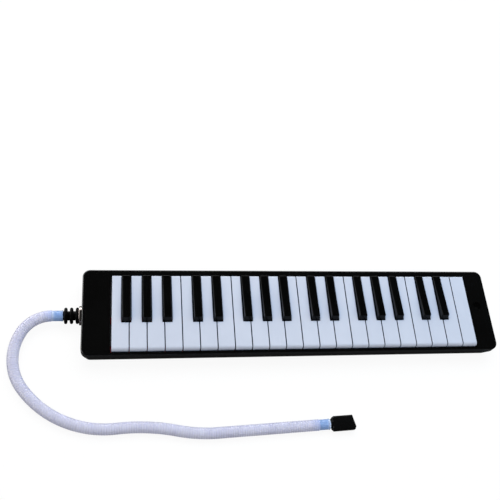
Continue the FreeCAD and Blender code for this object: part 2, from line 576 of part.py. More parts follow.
def reed_chamber():
    """Air chamber with a cell and a tone hole for each reed, and the lugs that hold the pivot rod."""
    tub = block_between("Tub", CHAMBER_LEFT, CHAMBER_RIGHT, "Sizes.chamber_front", "Sizes.chamber_back",
                        "Sizes.chamber_floor", "Sizes.chamber_top")
    ledge = block_between("Ledge", CHAMBER_LEFT, CHAMBER_RIGHT, "Sizes.ledge_front", "Sizes.chamber_front",
                          "Sizes.ledge_top - Sizes.ledge_thickness", "Sizes.ledge_top")
    valve_box = drain_extension("ValveBox", "Sizes.seat_height", "Sizes.chamber_top")
    lugs = [lug("Lug%d" % index, line) for index, line in enumerate(lug_lines())]
    front = "Sizes.chamber_front + Sizes.chamber_wall"
    back = "Sizes.chamber_back - Sizes.chamber_wall"
    wind = block_between("WindWay", CHAMBER_LEFT + " + Sizes.chamber_end_wall",
                         CHAMBER_RIGHT + " - Sizes.chamber_end_wall", front, back, "Sizes.plate_seat",
                         "Sizes.chamber_top + Sizes.overlap")
    valve_way = drain_extension("ValveWay", "Sizes.seat_height + Sizes.seat_thickness",
                                "Sizes.chamber_top + Sizes.overlap", skin="Sizes.valve_skin")
    seat_hole = cylinder("SeatHole", "Sizes.seat_hole", "Sizes.seat_thickness * 3", x="Sizes.drain_x",
                         y="Sizes.drain_y", z="Sizes.seat_height - Sizes.overlap")
    wind_port = block_between("WindPort", CHAMBER_LEFT + PASS_LOW,
                              CHAMBER_LEFT + " + Sizes.chamber_end_wall" + PASS_HIGH, *WIND_OPENING)
    cutters = [wind, valve_way, seat_hole, wind_port]
    for index, (_, _, _, hub) in enumerate(key_layout()):
        cutters.append(block_between("Cell%d" % index, hub + " - Sizes.cell_width / 2",
                                     hub + " + Sizes.cell_width / 2", front, back,
                                     "Sizes.cell_floor", "Sizes.plate_seat + Sizes.plate_gap"))
        cutters.append(block_between("ToneHole%d" % index, hub + " - Sizes.hole_width / 2",
                                     hub + " + Sizes.hole_width / 2", back + PASS_LOW,
                                     "Sizes.chamber_back" + PASS_HIGH,
                                     "Sizes.pad_height - Sizes.hole_height / 2",
                                     "Sizes.pad_height + Sizes.hole_height / 2"))
    pilot = "Sizes.screw_shank + 2 * Sizes.running_gap"
    lid_depth = "(Sizes.screw_length - Sizes.lid_thickness + Sizes.lid_sink)"
    cutters += drilled("LidPilot", lid_screw_points(), pilot, "Sizes.chamber_top - " + lid_depth,
                       lid_depth + PASS_HIGH)
    under_ledge = "Sizes.ledge_top - Sizes.ledge_thickness" + PASS_LOW
    screw_tip = "Sizes.ledge_screw_seat + Sizes.screw_length + 2 * Sizes.running_gap"
    cutters += drilled("LedgePilot", ledge_points(), pilot, under_ledge,
                       "%s - (%s)" % (screw_tip, under_ledge))
    solid = fuse("ChamberSolid", [tub, ledge, valve_box] + lugs)
    node(cut("Chamber", solid, cutters), "reed_chamber")


def lug(name, line):
    """A plate behind the chamber with the bore for the pivot rod."""
    body = new_body(name)
    wall = "Sizes.chamber_back"
    inside = wall + " - Sizes.overlap / 2"
    back = "Sizes.pivot_back + Sizes.hub_diameter / 2 - Sizes.plate_gap"
    top = "Sizes.pivot_height + Sizes.hub_diameter / 2"
    above = "Sizes.chamber_top + Sizes.overlap"
    clear = wall + " + Sizes.plate_gap"
    points = [(inside, "Sizes.lug_foot"), (wall + " + Sizes.lug_reach", "Sizes.lug_foot"), (back, above),
              (back, top), (clear + " + Sizes.overlap", top), (clear, above + " + Sizes.overlap"),
              (clear, "Sizes.chamber_top"), (inside, "Sizes.chamber_top")]
    plate = outline(body, name + "Plate", "YZ_Plane", points)
    extrude("Pad", body, plate, "Sizes.lug_thickness", middle=True)
    bore = circles(body, name + "Bore", "YZ_Plane", [("Sizes.pivot_back", "Sizes.pivot_height")],
                   "Sizes.rod_diameter + 2 * Sizes.running_gap")
    extrude("Pocket", body, bore, "Sizes.lug_thickness * 2", middle=True)
    return bind(body, x=line)


def chamber_lid():
    """Lid over the wind way, with sunk screw holes and the guide hole of the drain stem."""
    bottom = "Sizes.chamber_top + Sizes.gasket_thickness"
    plate = block_between("LidPlate", CHAMBER_LEFT, CHAMBER_RIGHT, "Sizes.chamber_front",
                          "Sizes.chamber_back", bottom, LID_TOP)
    wing = drain_extension("LidWing", bottom, LID_TOP)
    through = "Sizes.lid_thickness + 2 * Sizes.overlap"
    holes = drilled("LidHole", lid_screw_points(), "Sizes.screw_shank + Sizes.screw_play", bottom + PASS_LOW,
                    through)
    holes += drilled("LidSink", lid_screw_points(), "Sizes.screw_head + Sizes.sink_play",
                     LID_TOP + " - Sizes.lid_sink", "Sizes.lid_thickness")
    holes.append(cylinder("StemGuide", "Sizes.stem_diameter + 2 * Sizes.running_gap", through,
                          x="Sizes.drain_x", y="Sizes.drain_y", z=bottom + PASS_LOW))
    node(cut("Lid", fuse("LidSolid", [plate, wing]), holes), "chamber_lid")


def chamber_gasket():
    """Foam seal between the chamber and its lid."""
    bottom, top = "Sizes.chamber_top", "Sizes.chamber_top + Sizes.gasket_thickness"
    sheet = block_between("GasketSheet", CHAMBER_LEFT, CHAMBER_RIGHT, "Sizes.chamber_front",
                          "Sizes.chamber_back", bottom, top)
    wing = drain_extension("GasketWing", bottom, top)
    low, high = bottom + PASS_LOW, top + PASS_HIGH
    window = block_between("GasketWindow", CHAMBER_LEFT + " + Sizes.chamber_end_wall",
                           CHAMBER_RIGHT + " - Sizes.chamber_end_wall",
                           "Sizes.chamber_front + Sizes.chamber_wall",
                           "Sizes.chamber_back - Sizes.chamber_wall", low, high)
    valve = drain_extension("GasketValve", low, high, skin="Sizes.valve_skin")
    holes = drilled("GasketHole", lid_screw_points(), "Sizes.screw_shank + Sizes.screw_play", low,
                    "Sizes.gasket_thickness + 2 * Sizes.overlap")
    node(cut("Gasket", fuse("GasketSolid", [sheet, wing]), [window, valve] + holes), "chamber_gasket")


def reed_length(index):
    """Reeds shorten by the root of the pitch: 24 steps halve the length."""
    return "(Sizes.reed_longest * 2 ^ (-%d / 24))" % index


def reed_plate():
    """Plate with one slot for each reed."""
    gap = "Sizes.plate_gap"
    plate = block_between("PlateSheet", CHAMBER_LEFT + " + Sizes.chamber_end_wall + " + gap,
                          CHAMBER_RIGHT + " - Sizes.chamber_end_wall - " + gap,
                          "Sizes.chamber_front + Sizes.chamber_wall + " + gap,
                          "Sizes.chamber_back - Sizes.chamber_wall - " + gap, "Sizes.plate_seat",
                          "Sizes.plate_seat + Sizes.plate_thickness")
    slots = []
    for index, (_, _, _, hub) in enumerate(key_layout()):
        slots.append(box("Slot%d" % index, hub + " - Sizes.slot_width / 2",
                         "Sizes.rivet_line - %s + Sizes.reed_play" % reed_length(index),
                         "Sizes.plate_seat" + PASS_LOW,
                         "Sizes.slot_width", reed_length(index) + " - Sizes.reed_root",
                         "Sizes.plate_thickness + 2 * Sizes.overlap"))
    node(cut("ReedPlate", plate, slots), "reed_plate")


def reeds():
    """Brass tongues, longest for the lowest note, and the rivets that hold them."""
    top = "Sizes.plate_seat + Sizes.plate_thickness"
    members = []
    for index, (_, _, _, hub) in enumerate(key_layout()):
        members.append(box("Reed%d" % index, hub + " - Sizes.reed_width / 2",
                           "Sizes.rivet_line - " + reed_length(index), top, "Sizes.reed_width",
                           reed_length(index) + " + Sizes.reed_heel", "Sizes.reed_thickness"))
        members.append(cylinder("Rivet%d" % index, "Sizes.rivet_diameter", "Sizes.rivet_height",
                                x=hub, y="Sizes.rivet_line", z=top + " + Sizes.reed_thickness"))
    node(group("Reeds", members), "reeds")


def screws():
    """All screws are alike: case corners, ledge and chamber lid."""
    def screw(name, x, y, seat, up):
        direction = Vector(0, 0, 1 if up else -1)
        shank = cylinder(name + "Shank", "Sizes.screw_shank", "Sizes.screw_length", x=x, y=y, z=seat,
                         along=direction)
        head_start = seat + (" - " if up else " + ") + "Sizes.screw_head_height"
        head = cylinder(name + "Head", "Sizes.screw_head", "Sizes.screw_head_height", x=x, y=y, z=head_start,
                        along=direction)
        return fuse(name, [shank, head])

    members = []
    for index, (x, y) in enumerate(corner_points()):
        members.append(screw("CornerScrew%d" % index, x, y, "Sizes.corner_screw_seat", True))
    for index, (x, y) in enumerate(ledge_points()):
        members.append(screw("LedgeScrew%d" % index, x, y, "Sizes.ledge_screw_seat", True))
    for index, (x, y) in enumerate(lid_screw_points()):
        members.append(screw("LidScrew%d" % index, x, y, LID_TOP + " - Sizes.lid_sink", False))
    node(group("Screws", members), "screws")


# ---------------------------------------------------------------- drain valve
SPRING_TURNS = 5


def drain_valve():
    """Button, stem and foot in one piece, the rubber seal above the foot, and the return spring."""
    x, y = "Sizes.drain_x", "Sizes.drain_y"
    cap_top = "Sizes.rim_height - Sizes.button_sink"
    cap_bottom = cap_top + " - Sizes.button_thickness"
    foot = "Sizes.seat_height - Sizes.seal_thickness - Sizes.stem_foot"
    cap = cylinder("ButtonCap", "Sizes.button_diameter", "Sizes.button_thickness", x=x, y=y, z=cap_bottom)
    stem = cylinder("ButtonStem", "Sizes.stem_diameter", cap_bottom + " - (" + foot + ")", x=x, y=y, z=foot)
    flange = cylinder("ButtonFoot", "Sizes.stem_diameter + 2 * Sizes.overlap", "Sizes.stem_foot", x=x, y=y,
                      z=foot)
    dish = doc.addObject("Part::Sphere", "ButtonDish")
    bind(dish, x=x, y=y, z=cap_top + " + Sizes.dish_radius - Sizes.button_sink", Radius="Sizes.dish_radius")
    node(cut("Button", fuse("ButtonSolid", [cap, stem, flange]), [dish]), "drain_button")

    seal_bottom = "Sizes.seat_height - Sizes.seal_thickness"
    disc = cylinder("SealDisc", "Sizes.seal_diameter", "Sizes.seal_thickness", x=x, y=y, z=seal_bottom)
    hole = cylinder("SealHole", "Sizes.stem_diameter + 2 * Sizes.running_gap",
                    "Sizes.seal_thickness + 2 * Sizes.overlap", x=x, y=y, z=seal_bottom + PASS_LOW)
    node(cut("Seal", disc, [hole]), "drain_seal")

    coil = "(Sizes.spring_diameter - Sizes.spring_wire) / 2"
    turns = []
    for index in range(SPRING_TURNS):
        height = "%s + Sizes.spring_wire + %d * Sizes.spring_pitch" % (LID_TOP, index)
        turn = doc.addObject("Part::Torus", "SpringTurn%d" % index)
        turns.append(bind(turn, x=x, y=y, z=height, Radius1=coil, Radius2="Sizes.spring_wire / 2"))
        if index:
            side = "+" if index % 2 else "-"
            turns.append(cylinder("SpringRiser%d" % index, "Sizes.spring_riser", "Sizes.spring_pitch",
                                  x="%s %s %s" % (x, side, coil), y=y, z=height + " - Sizes.spring_pitch"))
    node(fuse("Spring", turns), "drain_spring")


# ---------------------------------------------------------------- blow socket, plug and hose
RING_FACE = "(-Sizes.case_length / 2 - Sizes.ring_reach)"
PLUG_BACK = "(" + RING_FACE + " - Sizes.plug_reach + Sizes.ring_reach)"
HOSE_START = "(" + PLUG_BACK + " - Sizes.cuff_length)"


def along_axis(name, diameter, left, right):
    """A round bar on the blow axis between two places along it."""
    return cylinder(name, diameter, "(%s) - (%s)" % (right, left), x=left, z="Sizes.blow_height", along=ALONG)


def blow_socket():
    """Tube that takes the plug and leads the air down into the reed chamber."""
    front = RING_FACE + " + Sizes.tube_set_back"
    chamber = CHAMBER_LEFT
    half, skin = "Sizes.plenum_width / 2", "Sizes.plenum_skin"
    hood_front = chamber + " - Sizes.plenum_length"
    tube_end = hood_front + " + Sizes.plenum_skin + Sizes.overlap"
    tube = along_axis("SocketTube", "Sizes.socket_diameter", front, tube_end)
    hood = block_between("SocketHood", hood_front, chamber, "-" + half, half, "Sizes.plenum_floor",
                         "Sizes.plenum_top")
    bore = along_axis("SocketBore", "Sizes.plug_diameter + 2 * Sizes.running_gap", front + PASS_LOW,
                      tube_end + PASS_HIGH)
    room = block_between("SocketRoom", hood_front + " + " + skin, chamber + " - " + skin,
                         "-(%s - %s)" % (half, skin), half + " - " + skin, "Sizes.plenum_floor + " + skin,
                         "Sizes.plenum_top - " + skin)
    port = block_between("SocketPort", chamber + " - 2 * Sizes.plenum_skin", chamber + PASS_HIGH,
                         *WIND_OPENING)
    node(cut("Socket", fuse("SocketSolid", [tube, hood]), [bore, room, port]), "blow_socket")


def socket_ring():
    """Bright ring that trims the socket in the end of the case."""
    body = new_body("Ring")
    centre = [("0", "Sizes.blow_height")]
    disc = circles(body, "RingDisc", "YZ_Plane", centre, "Sizes.ring_diameter", RING_FACE)
    extrude("Pad", body, disc, "Sizes.ring_length")
    hole = circles(body, "RingHole", "YZ_Plane", centre, "Sizes.socket_diameter + 2 * Sizes.running_gap",
                   RING_FACE)
    extrude("Pocket", body, hole, "Sizes.ring_length * 2", flip=True)
    face = number(RING_FACE)
    round_edges(body, "RingLip", "Sizes.ring_lip",
                lambda edge: close(edge.XMin, face) and close(edge.XMax, face))
    node(body, "socket_ring")


def hose_plug():
    """Ribbed rubber plug: a bore-sized stem, three ribs to grip, and a nipple for the hose cuff."""
    stem = along_axis("PlugStem", "Sizes.plug_diameter", PLUG_BACK, RING_FACE + " + Sizes.plug_depth")
    nipple = along_axis("PlugNipple", "Sizes.nipple_diameter", PLUG_BACK + " - Sizes.nipple_length",
                        PLUG_BACK)
    ribs = []
    for index in range(3):
        place = RING_FACE + " - Sizes.rib_width / 2 - Sizes.plate_gap - %d * Sizes.rib_pitch" % index
        bead = doc.addObject("Part::Torus", "RibBead%d" % index)
        bead.Placement.Rotation = Rotation(Vector(0, 0, 1), ALONG)
        ribs.append(bind(bead, x=place, z="Sizes.blow_height",
                         Radius1="Sizes.rib_diameter / 2 - Sizes.rib_width / 2",
                         Radius2="Sizes.rib_width / 2"))
        ribs.append(along_axis("RibWeb%d" % index, "Sizes.rib_diameter - Sizes.rib_width",
                               place + " - Sizes.rib_web / 2", place + " + Sizes.rib_web / 2"))
    air = along_axis("PlugAir", "Sizes.air_bore", PLUG_BACK + " - Sizes.nipple_length" + PASS_LOW,
                     RING_FACE + " + Sizes.plug_depth" + PASS_HIGH)
    node(cut("Plug", fuse("PlugSolid", [stem, nipple] + ribs), [air]), "hose_plug")


BEND_TOTAL = 5


def heading(bend):
    """Direction of the hose where a bend starts, in degrees from +X, seen from above."""
    return "(180 deg" + "".join(" + Sizes.bend_turn_%d * 1 deg" % (i + 1) for i in range(bend)) + ")"


def bend_start(bend):
    """Where a bend starts on the hose's own plane: the sum of the bends before it."""
    x = HOSE_START
    y = "0"
    for i in range(bend):
        radius = "Sizes.bend_radius_%d" % (i + 1)
        before, after = heading(i), heading(i + 1)
        x += " + %s * (sin(%s) - sin(%s))" % (radius, after, before)
        y += " + %s * (cos(%s) - cos(%s))" % (radius, before, after)
    return x, y


def bend_arc(name, bend, diameter):
    """One bend of round section; a negative radius and turn bend to the right."""
    radius = DRIVING_SIZES["bend_radius_%d" % (bend + 1)]
    alias = "Sizes.bend_radius_%d" % (bend + 1)
    turn = "Sizes.bend_turn_%d" % (bend + 1)
    side = 1 if radius > 0 else -1
    x, y = bend_start(bend)
    arc = doc.addObject("Part::Torus", name)
    first = heading(bend) + " - 90 deg" if side > 0 else heading(bend + 1) + " + 90 deg"
    arc.Placement.Rotation = Rotation(Vector(0, 0, 1), 1)
    arc.setExpression("Placement.Rotation.Angle", first)
    return bind(arc, x="%s - %s * sin(%s)" % (x, alias, heading(bend)),
                y="%s + %s * cos(%s)" % (y, alias, heading(bend)), Radius1="%d * %s" % (side, alias),
                Radius2="(%s) / 2" % diameter, Angle3="%d * %s" % (side, turn))


def straight_end(name, diameter, start, length):
    """A round bar that carries on from the last bend; start is the distance from that bend."""
    bar = cylinder(name + "Bar", diameter, length, x=start, along=ALONG)
    return after_last_bend(name, [bar])


def after_last_bend(name, members):
    """Put pieces built along +X at the end of the last bend, in the direction of the hose."""
    x, y = bend_start(BEND_TOTAL)
    turned = group(name, members)
    turned.Placement.Rotation = Rotation(Vector(0, 0, 1), 1)
    turned.setExpression("Placement.Rotation.Angle", heading(BEND_TOTAL))
    return bind(turned, x=x, y=y)


def on_hose_plane(name, members, label):
    """The hose lies on a plane that drops from the socket to the table in front of the case."""
    tilted = group(name, members)
    tilted.Placement.Rotation = Rotation(Vector(1, 0, 0), 1)
    tilted.setExpression("Placement.Rotation.Angle", "Sizes.hose_tilt * 1 deg")
    node(bind(tilted, z="Sizes.blow_height"), label)


def hose():
    """Hose in three lengths, split where it bends when the mouthpiece is lifted."""
    for label, bends in (("hose_near", (0, 1, 2)), ("hose_flex", (3,)), ("hose_far", (4,))):
        skins = []
        for layer, diameter in (("Skin", "Sizes.hose_diameter"), ("Bore", "Sizes.hose_bore")):
            arcs = [bend_arc("%s%s%d" % (label, layer, bend), bend, diameter) for bend in bends]
            if label == "hose_far":
                arcs.append(straight_end(label + layer, diameter, "0", "Sizes.hose_straight"))
            skins.append(fuse(label + layer + "All", arcs) if len(arcs) > 1 else arcs[0])
        on_hose_plane(label + "Tilt", [cut(label + "Tube", skins[0], [skins[1]])], label)


def cuffs():
    """Soft sleeves at both ends of the hose."""
    bore = "Sizes.nipple_diameter + 2 * Sizes.running_gap"
    near = cut("NearCuff", along_axis("NearSleeve", "Sizes.cuff_diameter", HOSE_START, PLUG_BACK),
               [along_axis("NearBore", bore, HOSE_START + PASS_LOW, PLUG_BACK + PASS_HIGH)])
    node(near, "cuff_near")
    sleeve = straight_end("FarSleeve", "Sizes.cuff_diameter", "Sizes.hose_straight", "Sizes.far_cuff_length")
    hole = straight_end("FarBore", bore, "Sizes.hose_straight" + PASS_LOW,
                        "Sizes.far_cuff_length + 2 * Sizes.overlap")
    on_hose_plane("FarCuffTilt", [cut("FarCuff", sleeve, [hole])], "cuff_far")


def mouthpiece():
    """Flat mouthpiece with sloped shoulders and a slanted lip end."""
    body = new_body("Mouth")
    start = "Sizes.hose_straight + Sizes.far_cuff_length"
    neck = "(" + start + " + Sizes.mouth_neck)"
    tip = "(" + start + " + Sizes.mouth_length)"
    half = "Sizes.mouth_width / 2"
    slim = "Sizes.cuff_diameter / 2 - Sizes.overlap / 2"
    points = [(neck, "-(%s)" % slim), (neck + " + Sizes.mouth_shoulder", "-" + half),
              (tip + " + Sizes.mouth_slant - Sizes.mouth_bevel / 2", "-" + half),
              (tip + " + Sizes.mouth_slant", "-(%s) + Sizes.mouth_bevel" % half),
              (tip, half), (neck + " + Sizes.mouth_shoulder", half), (neck, slim)]
    plan = outline(body, "MouthPlan", "XY_Plane", points)
    extrude("Pad", body, plan, "Sizes.mouth_thickness", middle=True)
    thick = number("Sizes.mouth_thickness") / 2
    round_edges(body, "MouthEdges", "Sizes.mouth_round",
                lambda edge: close(abs(edge.ZMin), thick) and close(edge.ZMin, edge.ZMax))
    collar = circles(body, "MouthNeck", "YZ_Plane", [("0", "0")],
                     "Sizes.mouth_thickness - 2 * Sizes.plate_gap", start)
    extrude("Pad", body, collar, "Sizes.mouth_neck + Sizes.overlap")
    nipple = circles(body, "MouthNipple", "YZ_Plane", [("0", "0")], "Sizes.nipple_diameter", start)
    extrude("Pad", body, nipple, "Sizes.nipple_length", flip=True)
    bore = circles(body, "MouthBore", "YZ_Plane", [("0", "0")], "Sizes.air_bore", start)
    extrude("Pocket", body, bore, "Sizes.mouth_length * 3", middle=True)
    on_hose_plane("MouthTilt", [after_last_bend("MouthTurned", [body])], "mouthpiece")


top_case()
bottom_case()
reed_chamber()
chamber_lid()
chamber_gasket()
reed_plate()
reeds()
screws()
pivot_rod()
spring_comb()
key_stop_felt()
blow_socket()
socket_ring()
drain_valve()
hose_plug()
cuffs()
hose()
mouthpiece()
keys()
doc.recompute()

for thing in doc.Objects:
    if {"Invalid", "Error"} & set(thing.State):
        raise RuntimeError("%s did not build: %s" % (thing.Name, thing.State))
os.makedirs("parts", exist_ok=True)
for part in subparts:
    if part.Shape.isNull() or not part.Shape.isValid():
        raise RuntimeError("%s has no valid shape" % part.Label)
    part.Shape.exportStep("parts/%s.step" % part.Label)
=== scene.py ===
"""Looks of the melodica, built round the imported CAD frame.  Blender 4.5, metres."""
import json
import math

import bpy
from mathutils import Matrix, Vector


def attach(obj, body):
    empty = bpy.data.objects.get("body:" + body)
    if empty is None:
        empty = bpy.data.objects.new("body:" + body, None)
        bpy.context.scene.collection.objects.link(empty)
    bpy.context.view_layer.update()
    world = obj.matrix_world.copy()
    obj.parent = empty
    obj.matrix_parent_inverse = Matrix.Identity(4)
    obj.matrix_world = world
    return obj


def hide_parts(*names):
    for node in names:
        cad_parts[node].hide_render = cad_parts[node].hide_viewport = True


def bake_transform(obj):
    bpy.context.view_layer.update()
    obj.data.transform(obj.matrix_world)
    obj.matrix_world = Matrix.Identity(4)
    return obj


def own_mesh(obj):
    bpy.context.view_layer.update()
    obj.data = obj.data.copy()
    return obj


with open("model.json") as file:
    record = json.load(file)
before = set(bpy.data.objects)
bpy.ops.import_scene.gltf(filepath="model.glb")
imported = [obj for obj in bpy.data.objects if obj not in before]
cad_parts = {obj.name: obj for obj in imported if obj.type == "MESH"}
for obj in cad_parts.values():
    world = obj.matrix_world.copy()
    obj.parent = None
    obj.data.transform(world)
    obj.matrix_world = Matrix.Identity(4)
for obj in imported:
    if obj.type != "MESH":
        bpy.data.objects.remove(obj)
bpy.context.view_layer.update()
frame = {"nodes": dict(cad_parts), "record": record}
NODES = frame["nodes"]

# Hose and its ends, millimetres: the same line as the solid model.
HOSE_START_X = -277.0
BLOW_HEIGHT = 13.5
HOSE_TILT = 3.05
BENDS = ((36.4, 61.5), (57.6, 64.3), (112.1, 58.8), (-219.8, -17.0), (173.4, 14.7))
FLEX_BEND = 3
STRAIGHT = 113.6
HOSE_RADIUS = 6.3
HOSE_BORE_RADIUS = 4.8
CUFF_RADIUS = 6.1
CUFF_BORE_RADIUS = 4.05
CUFF_LENGTH = 12.3
NEAR_WAIST_RADIUS = 5.8
NEAR_LIP = 1.6
NEAR_LIP_EDGE = 0.5
FAR_WAIST_RADIUS = 5.75
FAR_LIP = 1.8
FAR_LIP_EDGE = 0.6
WAIST_EDGE = 0.4
RIB_PITCH = 2.6
RIB_DEPTH = 0.32
RIB_STEPS = 6
RIB_FULLNESS = 0.6
BORE_STEP = 3.0
SIDES = 48

# Return spring of the drain valve, millimetres.
DRAIN_X, DRAIN_Y = 228.9, 4.3
SPRING_FOOT, SPRING_TOP = 16.55, 23.45
COIL_RADIUS = 3.2
WIRE_RADIUS = 0.3
COIL_TURNS = 5
FLAT_TURNS = 0.6
STEPS_PER_TURN = 24
WIRE_SIDES = 10

# Floor and camera: metres, degrees, and the lens in millimetres.
FLOOR_HALF = 3.0
FLOOR_DROP = 0.0003
FLOOR_OWN_LIGHT = 0.92
FLOOR_IN_MIRRORS = 0.08
EYE_PLACE = (-0.2080, -0.3085, 0.7865)
EYE_ANGLES = (27.288, -9.681, -4.323)
EYE_LENS = 51.85


# ---------------------------------------------------------------- shader helpers
def shade(value):
    """A grey from one number, or a colour from three."""
    return (value, value, value, 1.0) if isinstance(value, (int, float)) else (*value, 1.0)


class NodeTree:
    """A node tree that grows one call at a time."""

    def __init__(self, tree):
        self.tree = tree

    def add(self, kind, **inputs):
        """A node with some of its inputs set."""
        node = self.tree.nodes.new("ShaderNode" + kind)
        for name, value in inputs.items():
            node.inputs[name.replace("_", " ")].default_value = value
        return node

    def join(self, source, output, target, name):
        """Link an output to an input, each by its name or its place in the list."""
        self.tree.links.new(source.outputs[output], target.inputs[name])

    def curve(self, source, output, stops):
        """A ramp through several stops, each a position with a grey or a colour."""
        node = self.add("ValToRGB")
        elements = node.color_ramp.elements
        while len(elements) < len(stops):
            elements.new(0.5)
        for element, (position, value) in zip(elements, stops):
            element.position = position
            element.color = shade(value)
        self.join(source, output, node, "Fac")
        return node

    def ramp(self, source, output, low, high, start=0.3, end=0.7):
        return self.curve(source, output, [(start, low), (end, high)])

    def mix(self, first, second, factor, output="Color", mode="MIX"):
        """Mix two colours by a number or a node's output; a colour is a node or a value."""
        node = self.add("MixRGB")
        node.blend_type = mode
        for name, part in (("Color1", first), ("Color2", second)):
            if isinstance(part, bpy.types.Node):
                self.join(part, "Color", node, name)
            else:
                node.inputs[name].default_value = shade(part)
        if isinstance(factor, bpy.types.Node):
            self.join(factor, output, node, "Fac")
        else:
            node.inputs["Fac"].default_value = factor
        return node

    def times(self, first, second):
        return self.mix(first, second, 1.0, mode="MULTIPLY")

    def plus(self, first, second):
        return self.mix(first, second, 1.0, mode="ADD")


class Shader(NodeTree):
    """A new material with its surface node."""

    def __init__(self, name):
        self.material = bpy.data.materials.new(name)
        self.material.use_nodes = True
        super().__init__(self.material.node_tree)
        self.surface = self.tree.nodes["Principled BSDF"]

    def noise(self, scale, detail=3.0, roughness=0.5, stretch=(1.0, 1.0, 1.0)):
        """Noise in the object's own space; stretch squeezes it along each axis."""
        place = self.add("TexCoord")
        mapping = self.add("Mapping", Scale=stretch)
        node = self.add("TexNoise", Scale=scale, Detail=detail, Roughness=roughness)
        self.join(place, "Object", mapping, "Vector")
        self.join(mapping, "Vector", node, "Vector")
        return node

    def painted_crease_shade(self, distance, dark, start, end):
        """A multiplier of painted shade: dark in gaps and inner corners, where little light reaches."""
        hidden = self.add("AmbientOcclusion", Distance=distance)
        return self.ramp(hidden, "AO", dark, 1.0, start, end)

    def finish(self, colour, rough, relief, depth, **surface):
        """Join colour and roughness, lay relief nodes on each other, and set what is even."""
        self.join(colour, "Color", self.surface, "Base Color")
        self.join(rough, "Color", self.surface, "Roughness")
        target = self.surface
        for height in relief:
            bump = self.add("Bump", Strength=0.4, Distance=depth)
            self.join(height, "Fac", bump, "Height")
            self.join(bump, "Normal", target, "Normal")
            target = bump
        for name, value in surface.items():
            self.surface.inputs[name.replace("_", " ")].default_value = value
        return self.material


# ---------------------------------------------------------------- materials
ALONG_X = (0.15, 4.0, 4.0)
ALONG_Y = (4.0, 0.15, 4.0)


def black_plastic(name, dark, light, rough, grain, depth, gloss, hairs):
    """Moulded black plastic: spark grain, soft patches, and hairlines that dull the sheen."""
    shader = Shader(name)
    patches = shader.noise(26.0, 4.0)
    dust = shader.noise(420.0, 6.0, 0.7)
    colour = shader.plus(shader.ramp(patches, "Fac", dark, light),
                         shader.ramp(dust, "Fac", 0.0, light * 3.0, 0.62, 0.85))
    hairlines = shader.noise(150.0, 5.0, 0.65, stretch=hairs)
    sheen = shader.ramp(hairlines, "Fac", rough[0], rough[1], 0.35, 0.65)
    return shader.finish(colour, sheen, [shader.noise(grain, 2.0)], depth, Specular_IOR_Level=gloss)


def key_white():
    """Polished white plastic, slightly cool and worn a little in the sheen, with painted shade: grey in the
    gaps and a broad bluish shade near the black keys.
    """
    shader = Shader("key_white")
    body = shader.ramp(shader.noise(35.0, 3.0), "Fac", (0.455, 0.488, 0.574), (0.483, 0.516, 0.602))
    wear = shader.ramp(shader.noise(300.0, 6.0, 0.7), "Fac", 1.0, 0.93, 0.60, 0.80)
    colour = shader.times(body, wear)
    # painted shade: a broad bluish darkening where close parts such as the black keys block the light
    colour = shader.times(colour, shader.painted_crease_shade(0.020, (0.72, 0.82, 0.97), 0.45, 0.95))
    # painted shade: dark grey deep in the narrow gaps between keys
    colour = shader.times(colour, shader.painted_crease_shade(0.005, 0.02, 0.12, 0.76))
    polish = shader.ramp(shader.noise(90.0, 5.0, 0.6, stretch=(4.0, 0.4, 4.0)), "Fac", 0.16, 0.28)
    return shader.finish(colour, polish, [shader.noise(160.0, 2.0)], 0.00002,
                         Specular_IOR_Level=0.4, Coat_Weight=0.1, Coat_Roughness=0.1)


def plug_rubber():
    """Black rubber with a dry sheen, a fine moulded skin and pale dust in places."""
    shader = Shader("plug_rubber")
    patches = shader.noise(120.0, 4.0)
    dust = shader.noise(700.0, 6.0, 0.7)
    colour = shader.plus(shader.ramp(patches, "Fac", 0.001, 0.003),
                         shader.ramp(dust, "Fac", 0.0, 0.008, 0.62, 0.85))
    sheen = shader.ramp(patches, "Fac", 0.38, 0.55)
    return shader.finish(colour, sheen, [shader.noise(2500.0, 2.0)], 0.00003, Specular_IOR_Level=0.05)


def metal(name, low, high, rough, stretch=(1.0, 1.0, 1.0)):
    """Plated or rolled metal with faint streaks and spots."""
    shader = Shader(name)
    streak = shader.noise(500.0, 4.0, 0.6, stretch)
    spots = shader.ramp(shader.noise(1200.0, 5.0, 0.7), "Fac", 1.0, 0.75, 0.62, 0.75)
    colour = shader.times(shader.ramp(streak, "Fac", low, high), spots)
    sheen = shader.ramp(streak, "Fac", rough[0], rough[1])
    return shader.finish(colour, sheen, [streak], 0.00001, Metallic=1.0)


def dull(name, low, high, rough, grain, depth):
    """A matt moulded, foamed or felted surface."""
    shader = Shader(name)
    cloud = shader.noise(grain, 5.0, 0.6)
    broad = shader.ramp(shader.noise(40.0, 3.0), "Fac", 0.85, 1.0)
    colour = shader.times(shader.ramp(cloud, "Fac", low, high), broad)
    sheen = shader.ramp(cloud, "Fac", rough[0], rough[1])
    return shader.finish(colour, sheen, [cloud], depth)


def vinyl(name, low, high, tint, reach, rough):
    """Milky soft vinyl; its tint grows towards the ends that sleeve() marks."""
    shader = Shader(name)
    cloud = shader.noise(60.0, 4.0)
    body = shader.ramp(cloud, "Fac", low, high)
    near_end = shader.add("Attribute")
    near_end.attribute_name = "from_end"
    ends = shader.ramp(near_end, "Fac", 1.0, 0.0, 0.0, reach)
    # painted shade: darker colour in the hollows between the ribs and in tight corners
    colour = shader.times(shader.mix(body, tint, ends), shader.painted_crease_shade(0.0012, 0.86, 0.3, 0.9))
    sheen = shader.ramp(cloud, "Fac", rough[0], rough[1])
    return shader.finish(colour, sheen, [shader.noise(1100.0, 3.0)], 0.00002, Specular_IOR_Level=0.45,
                         Subsurface_Weight=0.5, Subsurface_Scale=0.003, Subsurface_Radius=(1.0, 1.0, 1.2))


def case_black():
    return black_plastic("case_black", dark=0.0008, light=0.0014, rough=(0.16, 0.24), grain=3200.0,
                         depth=0.00004, gloss=0.45, hairs=ALONG_X)


